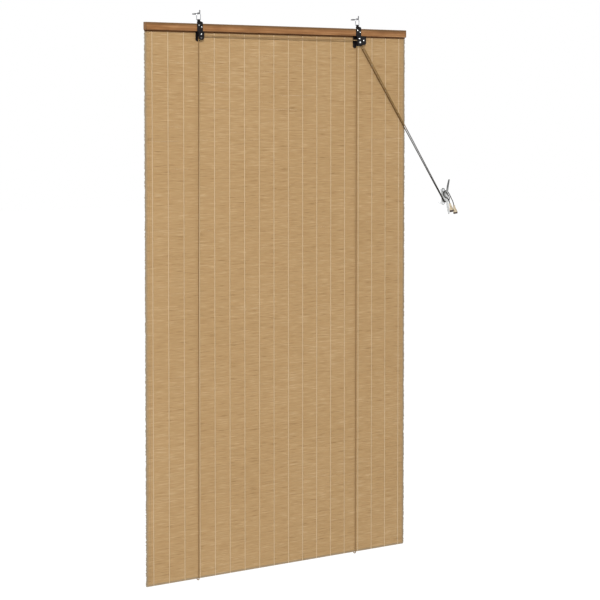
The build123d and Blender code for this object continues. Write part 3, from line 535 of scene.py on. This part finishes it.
def spline_points(name, route):
    """Points on the smooth line that a spline draws past a route's points, from a curve with no bevel."""
    curve = bpy.data.curves.new(name, "CURVE")
    curve.dimensions = "3D"
    curve.resolution_u = 24
    spline = curve.splines.new("NURBS")
    spline.points.add(len(route) - 1)
    for point, place in zip(spline.points, route):
        point.co = (*[c * MM for c in place], 1)
    spline.order_u = 3
    spline.use_endpoint_u = True
    line = bpy.data.objects.new(name, curve)
    bpy.context.scene.collection.objects.link(line)
    mesh = bpy.data.meshes.new_from_object(line.evaluated_get(bpy.context.evaluated_depsgraph_get()))
    points = np.empty(len(mesh.vertices) * 3)
    mesh.vertices.foreach_get("co", points)
    bpy.data.objects.remove(line)
    bpy.data.curves.remove(curve)
    bpy.data.meshes.remove(mesh)
    return points.reshape(-1, 3)


def even_points(points, spacing):
    """The same line with points at even steps along it."""
    run = np.concatenate([[0], np.cumsum(np.linalg.norm(np.diff(points, axis=0), axis=1))])
    marks = np.linspace(0, run[-1], max(8, int(run[-1] / spacing)))
    return np.stack([np.interp(marks, run, points[:, i]) for i in range(3)], -1), marks


def three_strand_cord(name, points):
    """A cord of three strands: at angle a the radius is R (h + (1 - h) |cos 1.5 a|), with h for the hollow,
    and the section turns once in each lay. The side direction is across the line and across a fixed axis,
    the one of sixty drawn by lot that the line follows least."""
    line, marks = even_points(points, CORD_STEP)
    tangent = np.gradient(line, axis=0)
    tangent /= np.linalg.norm(tangent, axis=1)[:, None]
    trial = chance.normal(size=(60, 3))
    trial /= np.linalg.norm(trial, axis=1)[:, None]
    axis = trial[np.abs(tangent @ trial.T).max(0).argmin()]
    side = np.cross(tangent, axis)
    side /= np.linalg.norm(side, axis=1)[:, None]
    other = np.cross(tangent, side)
    corner = np.arange(12) * np.pi / 6
    strand = np.abs(np.cos(1.5 * corner))
    lobe = STRAND_HOLLOW + (1 - STRAND_HOLLOW) * strand
    radius = CORD_DIAMETER / 2 * lobe
    turn = corner + 2 * np.pi * marks[:, None] / CORD_LAY
    rings = (
        line[:, None]
        + side[:, None] * (radius * np.cos(turn))[..., None]
        + other[:, None] * (radius * np.sin(turn))[..., None]
    )
    cord = closed_tubes(name, rings[None])
    give_values(cord, "strand_height", np.broadcast_to(strand, rings.shape[:2]))
    return cord, line


# Routes in millimetres: the corners of the real cords' runs, in the order in which the cord passes them
LEFT_LIFT_ROUTE = [
    (-304.0, -4.8, -36.0),
    (-304.0, -1.7, -1623.3),
    (-304.0, -1.7, -1632.4),
    (-304.0, -10.8, -1632.4),
    (-304.0, -10.8, -1623.3),
    (-304.0, -15.8, -75.7),
    (-304.0, -15.9, -62.8),
    (-291.1, -16.0, -62.8),
    (309.2, -18.7, -62.8),
    (315.2, -18.7, -62.8),
    (318.7, -18.6, -67.6),
    (333.7, -18.4, -88.0),
]
RIGHT_LIFT_ROUTE = [
    (306.0, -4.8, -36.0),
    (306.0, -1.7, -1623.3),
    (306.0, -1.7, -1632.4),
    (306.0, -10.8, -1632.4),
    (306.0, -10.8, -1623.3),
    (306.0, -13.2, -78.9),
    (306.0, -13.2, -71.0),
    (313.5, -13.2, -68.5),
    (318.2, -13.2, -74.8),
    (328.1, -13.1, -88.0),
]
FRONT_PULL_ROUTE = [
    (333.7, -18.4, -88.0),
    (677.3, -13.1, -555.9),
    (682.8, -13.0, -563.4),
    (691.8, -14.6, -560.7),
    (692.8, -22.6, -554.7),
    (687.6, -26.6, -547.1),
    (680.6, -26.6, -536.9),
    (676.8, -21.6, -530.7),
    (678.4, -14.2, -527.1),
    (689.8, -13.2, -526.1),
    (696.0, -16.0, -534.5),
    (701.5, -21.0, -550.5),
    (707.0, -25.6, -564.0),
    (710.9, -30.1, -593.4),
]
REAR_PULL_ROUTE = [
    (328.1, -13.1, -88.0),
    (677.9, -9.3, -556.8),
    (682.8, -9.2, -563.4),
    (690.9, -9.2, -560.7),
    (690.9, -9.2, -528.6),
    (679.1, -9.2, -528.6),
    (678.7, -10.8, -543.9),
    (677.8, -20.6, -547.1),
    (681.4, -26.4, -550.5),
    (688.5, -25.6, -557.5),
    (690.0, -34.4, -586.7),
]

for side, route in (("left", LEFT_LIFT_ROUTE), ("right", RIGHT_LIFT_ROUTE)):
    lift, _ = three_strand_cord(f"{side}_lift_strands", spline_points(f"{side}_lift_line", route))
    fit_piece(lift, cord_cotton, "cord", f"{side}_lift_cord")

pull_ends = {}
for side, route in (("front", FRONT_PULL_ROUTE), ("rear", REAR_PULL_ROUTE)):
    pull, line = three_strand_cord(f"{side}_pull_strands", spline_points(f"{side}_pull_line", route))
    fit_piece(pull, PULL_COTTON[side], "cord", f"{side}_pull_cord")
    pull_ends[side] = (pull, line, route)


# Tassels

def turned_piece(name, top, direction, profile, sides=48):
    """A turned piece: each (distance, radius) of the closed profile is carried round the axis, which runs
    from top along direction."""
    axis = Vector(direction).normalized()
    side = axis.orthogonal().normalized()
    other = axis.cross(side)
    angle = np.linspace(0, 2 * np.pi, sides, endpoint=False)
    spread = np.outer(np.cos(angle), side) + np.outer(np.sin(angle), other)
    distance, radius = np.asarray(profile, float).T
    points = np.array(top) + distance[:, None, None] * np.array(axis) + radius[:, None, None] * spread
    count = len(profile)
    ids = np.arange(count * sides).reshape(count, sides)
    after = np.roll(ids, -1, 0)
    quads = np.stack([ids, np.roll(ids, -1, 1), np.roll(after, -1, 1), after], -1).reshape(-1, 4)
    mesh = bpy.data.meshes.new(name)
    mesh.from_pydata(points.reshape(-1, 3).tolist(), [], quads.tolist())
    mesh.polygons.foreach_set("use_smooth", np.ones(len(quads), bool))
    mesh.update()
    piece = bpy.data.objects.new(name, mesh)
    bpy.context.scene.collection.objects.link(piece)
    length = distance.max()
    give_values(piece, "along", np.repeat(distance / length, sides))
    return piece


def tassel_profile():
    """Outer line of a bell: a rounded collar, a hollow waist with a bead, a swelling belly and a rounded
    foot; then the knot's pocket and the cord's bore, back to the start. Radii change evenly from one
    station to the next."""
    stations = [0.0, 0.03, 0.09, 0.14, 0.18, 0.22, 0.30, 0.45, 0.62, 0.76, 0.80, 0.84, 0.93, 0.985, 1.0]
    radii = [2.7, 3.3, 3.4, 3.0, 3.1, 3.05, 3.5, 4.6, 6.0, 6.85, 6.6, 6.95, 6.9, 6.6, 6.0]
    share = np.linspace(0, 1, 61)
    outer = [(s * TASSEL_LENGTH, r) for s, r in zip(share, np.interp(share, stations, radii))]
    pocket_top = TASSEL_LENGTH - KNOT_POCKET_DEPTH
    inner = [
        (TASSEL_LENGTH, KNOT_POCKET_RADIUS + 0.2),
        (TASSEL_LENGTH - 0.6, KNOT_POCKET_RADIUS),
        (pocket_top, KNOT_POCKET_RADIUS),
        (pocket_top, CORD_BORE_RADIUS),
        (0.0, CORD_BORE_RADIUS),
    ]
    return [(d * MM, r * MM) for d, r in outer + inner]


TASSELS = {
    "front": ((708.2, -27.0, -573.3), (0.13, -0.15, -0.98)),
    "rear": ((689.0, -28.5, -567.1), (0.05, -0.29, -0.957)),
}
for side, (top, direction) in TASSELS.items():
    tassel = turned_piece(f"{side}_turned_tassel", [c * MM for c in top], direction, tassel_profile())
    fit_piece(tassel, tassel_wood, "tassel_wood", f"{side}_tassel")
    pull, line, route = pull_ends[side]


# Screw threads

def thread_ridge(name, x, z, root, crest, start_y, end_y, pitch):
    """A ridge wound on a core about the Y line through x and z: y grows evenly with the angle, and the ridge
    sinks into the core at both ends as a power of a sine."""
    turns = (end_y - start_y) / pitch
    angle = np.linspace(0, 2 * np.pi * turns, int(turns * 20))
    share = np.linspace(0, 1, len(angle))
    rise = root + (crest - root) * np.sin(np.pi * share) ** 0.25
    y = start_y + (end_y - start_y) * share
    half = pitch * 0.28
    section = [(root * 0.9, half), (None, half * 0.15), (None, -half * 0.15), (root * 0.9, -half)]
    rings = np.empty((1, len(angle), len(section), 3))
    for corner, (radius, offset) in enumerate(section):
        r = rise if radius is None else np.full(len(angle), radius)
        rings[0, :, corner] = np.stack([x + r * np.cos(angle), y + offset, z + r * np.sin(angle)], -1)
    return closed_tubes(name, rings)


HOOK_X = 305 * MM
for side, x in (("left", -HOOK_X), ("right", HOOK_X)):
    ridge = thread_ridge(f"{side}_hook_thread", x, 0.0, 1.6 * MM, 2.15 * MM, -6.5 * MM, 11.0 * MM, 1.5 * MM)
    fit_piece(ridge, hook_steel, "hook_steel")
SCREWS_LOW, SCREWS_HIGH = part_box("cleat_screws")
screw_x = (SCREWS_LOW.x + SCREWS_HIGH.x) / 2
HEAD_RADIUS = 3.7 * MM
for place, z in (("upper", SCREWS_HIGH.z - HEAD_RADIUS), ("lower", SCREWS_LOW.z + HEAD_RADIUS)):
    ridge = thread_ridge(
        f"{place}_screw_thread", screw_x, z, 1.7 * MM, 2.3 * MM, 1.0 * MM, 17.5 * MM, 1.6 * MM
    )
    fit_piece(ridge, screw_zinc, "screw_steel")


# Stage, lamps and camera

def white_stage(name, shadow_share):
    """White to the camera and in reflections, with a little of the soft shadow kept."""
    material = bpy.data.materials.new(name)
    material.use_nodes = True
    nodes, links = material.node_tree.nodes, material.node_tree.links
    nodes.clear()
    paths = nodes.new("ShaderNodeLightPath")
    seen = nodes.new("ShaderNodeMath")
    seen.operation = "MAXIMUM"
    links.new(paths.outputs["Is Camera Ray"], seen.inputs[0])
    links.new(paths.outputs["Is Glossy Ray"], seen.inputs[1])
    through = nodes.new("ShaderNodeMath")
    through.operation = "MAXIMUM"
    links.new(seen.outputs["Value"], through.inputs[0])
    links.new(paths.outputs["Is Transmission Ray"], through.inputs[1])
    share = nodes.new("ShaderNodeMath")
    share.operation = "MULTIPLY"
    share.inputs[1].default_value = 1 - shadow_share
    links.new(through.outputs["Value"], share.inputs[0])
    plain = nodes.new("ShaderNodeBsdfDiffuse")
    plain.inputs["Color"].default_value = (0.82, 0.82, 0.82, 1)
    bright = nodes.new("ShaderNodeEmission")
    bright.inputs["Color"].default_value = (1, 1, 1, 1)
    bright.inputs["Strength"].default_value = 1.1
    blend = nodes.new("ShaderNodeMixShader")
    links.new(share.outputs["Value"], blend.inputs[0])
    links.new(plain.outputs["BSDF"], blend.inputs[1])
    links.new(bright.outputs["Emission"], blend.inputs[2])
    output = nodes.new("ShaderNodeOutputMaterial")
    links.new(blend.outputs["Shader"], output.inputs["Surface"])
    return material


FLOOR_Z = -2.1
FLOOR_HALF = 30.0
floor_mesh = bpy.data.meshes.new("floor")
floor_mesh.from_pydata(
    [(sx * FLOOR_HALF, sy * FLOOR_HALF, FLOOR_Z) for sx, sy in ((-1, -1), (1, -1), (1, 1), (-1, 1))],
    [],
    [(0, 1, 2, 3)],
)
floor = bpy.data.objects.new("floor", floor_mesh)
bpy.context.scene.collection.objects.link(floor)
floor_mesh.materials.append(white_stage("floor_white", 0.1))

world = bpy.data.worlds.new("studio")
bpy.context.scene.world = world
world.use_nodes = True
sky_nodes, sky_links = world.node_tree.nodes, world.node_tree.links
sky_nodes.clear()
sky_paths = sky_nodes.new("ShaderNodeLightPath")
sky_seen = sky_nodes.new("ShaderNodeMath")
sky_seen.operation = "MAXIMUM"
sky_links.new(sky_paths.outputs["Is Camera Ray"], sky_seen.inputs[0])
sky_links.new(sky_paths.outputs["Is Transmission Ray"], sky_seen.inputs[1])
soft_sky = sky_nodes.new("ShaderNodeBackground")
soft_sky.inputs["Color"].default_value = (1, 1, 1, 1)
soft_sky.inputs["Strength"].default_value = 0.34
white_sky = sky_nodes.new("ShaderNodeBackground")
white_sky.inputs["Color"].default_value = (1, 1, 1, 1)
white_sky.inputs["Strength"].default_value = 1.0
sky_mix = sky_nodes.new("ShaderNodeMixShader")
sky_links.new(sky_seen.outputs["Value"], sky_mix.inputs[0])
sky_links.new(soft_sky.outputs["Background"], sky_mix.inputs[1])
sky_links.new(white_sky.outputs["Background"], sky_mix.inputs[2])
sky_output = sky_nodes.new("ShaderNodeOutputWorld")
sky_links.new(sky_mix.outputs["Shader"], sky_output.inputs["Surface"])


def soft_lamp(name, place, target, size, power):
    """A square lamp at place that shines at target."""
    lamp = bpy.data.lights.new(name, "AREA")
    lamp.shape = "SQUARE"
    lamp.size = size
    lamp.energy = power
    holder = bpy.data.objects.new(name, lamp)
    bpy.context.scene.collection.objects.link(holder)
    holder.location = place
    holder.rotation_mode = "QUATERNION"
    holder.rotation_quaternion = (Vector(target) - Vector(place)).to_track_quat("-Z", "Y")


MIDDLE = (0.0, 0.0, -0.8)
soft_lamp("key_lamp", (-5.0, -7.0, 3.0), MIDDLE, 1.4, 560)
soft_lamp("fill_lamp", (4.5, -4.0, 0.5), MIDDLE, 3.0, 40)
soft_lamp("back_lamp", (-2.5, 4.5, 2.0), MIDDLE, 2.5, 150)

# The camera stands to the left of the blind, level with its upper part, and looks a little downwards
CAMERA_PLACE = (-4.2634, -5.0685, -0.2854)
CAMERA_YAW = 0.70972
CAMERA_PITCH = -0.05623
CAMERA_LENS = 134.35
camera = bpy.data.cameras.new("camera")
camera.lens = CAMERA_LENS
camera.sensor_width = 36
camera.shift_y = -0.1
camera.clip_end = 100
camera_holder = bpy.data.objects.new("camera", camera)
bpy.context.scene.collection.objects.link(camera_holder)
looking = Vector((
    math.sin(CAMERA_YAW) * math.cos(CAMERA_PITCH),
    math.cos(CAMERA_YAW) * math.cos(CAMERA_PITCH),
    math.sin(CAMERA_PITCH),
))
camera_holder.location = CAMERA_PLACE
camera_holder.rotation_mode = "QUATERNION"
camera_holder.rotation_quaternion = looking.to_track_quat("-Z", "Y")
bpy.context.scene.camera = camera_holder

bpy.context.scene.view_settings.view_transform = "Standard"
